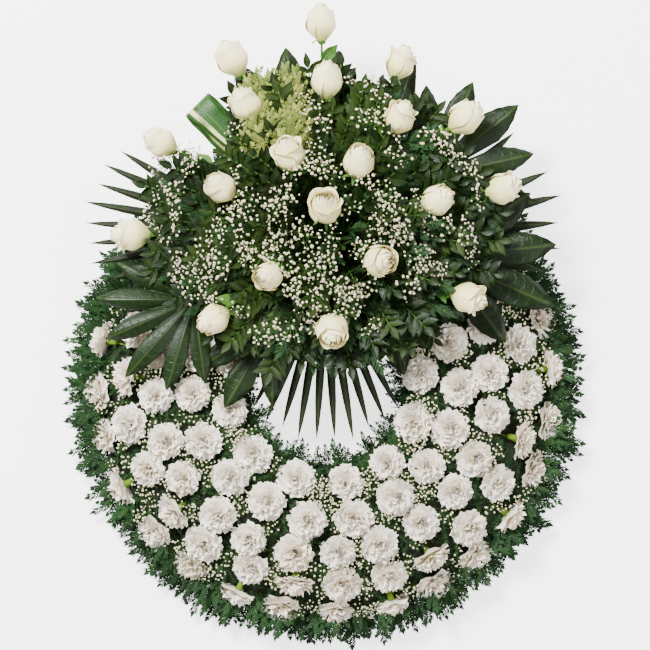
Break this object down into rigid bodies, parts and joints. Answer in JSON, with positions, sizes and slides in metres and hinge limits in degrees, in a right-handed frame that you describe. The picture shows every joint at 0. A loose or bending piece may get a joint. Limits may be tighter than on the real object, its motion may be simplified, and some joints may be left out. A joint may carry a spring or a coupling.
{
  "type": "funeral wreath",
  "caption": "Round funeral wreath lying on its flat back: a ring of white carnations and greenery, crowned by a fan-shaped spray of white roses and large leaves.",
  "frame": {"origin": "middle of the footprint, on the plane that the flat back lies on", "axes": "+Y runs to the top of the wreath, where the head spray is, and +Z points out of its front"},
  "size_m": [0.8106, 1.0136, 0.297],
  "materials": {
    "straw": "bundled straw bound with twine",
    "tray": "moulded green plastic",
    "foam": "open-celled wet foam",
    "greens": "fresh conifer and fern tips over moss",
    "carnation": "soft ruffled petals, white",
    "rose": "smooth petals, ivory",
    "palm": "pleated leathery leaf",
    "leaf": "glossy dark green leaf",
    "breath": "tiny white florets on thread-thin stems"
  },
  "bodies": {
    "root": {"straw_ring": "straw", "carnations_1": "carnation", "carnations_2": "carnation", "carnations_3": "carnation", "carnations_4": "carnation", "carnations_5": "carnation", "carnations_6": "carnation", "carnations_7": "carnation", "carnations_8": "carnation", "greens_1": "greens", "greens_2": "greens", "greens_3": "greens", "greens_4": "greens", "greens_5": "greens", "greens_6": "greens", "greens_7": "greens", "greens_8": "greens", "greens_under_head": "greens", "head_tray": "tray", "palm_bottom": "palm", "palm_left": "palm", "palm_right": "palm", "leaf_right_low": "leaf", "leaf_right_high": "leaf", "leaf_top": "leaf", "leaf_left_low": "leaf", "leaf_bottom_left": "leaf", "leaf_bottom_right": "leaf", "leaf_top_right": "leaf", "leaf_rolled": "leaf", "rose_1": "rose", "rose_2": "rose", "rose_3": "rose", "rose_4": "rose", "rose_5": "rose", "rose_6": "rose", "rose_7": "rose", "rose_8": "rose", "rose_9": "rose", "rose_10": "rose", "rose_11": "rose", "rose_12": "rose", "rose_13": "rose", "rose_14": "rose", "rose_15": "rose", "rose_16": "rose", "rose_17": "rose", "rose_18": "rose", "rose_19": "rose", "rose_20": "rose", "branch_left": "leaf", "branch_top": "leaf", "branch_west": "leaf", "branch_east": "leaf", "breath_top": "breath", "breath_left": "breath", "breath_right": "breath", "breath_middle": "breath", "breath_bottom": "breath", "head_foam": "foam"}
  },
  "joints": []
}
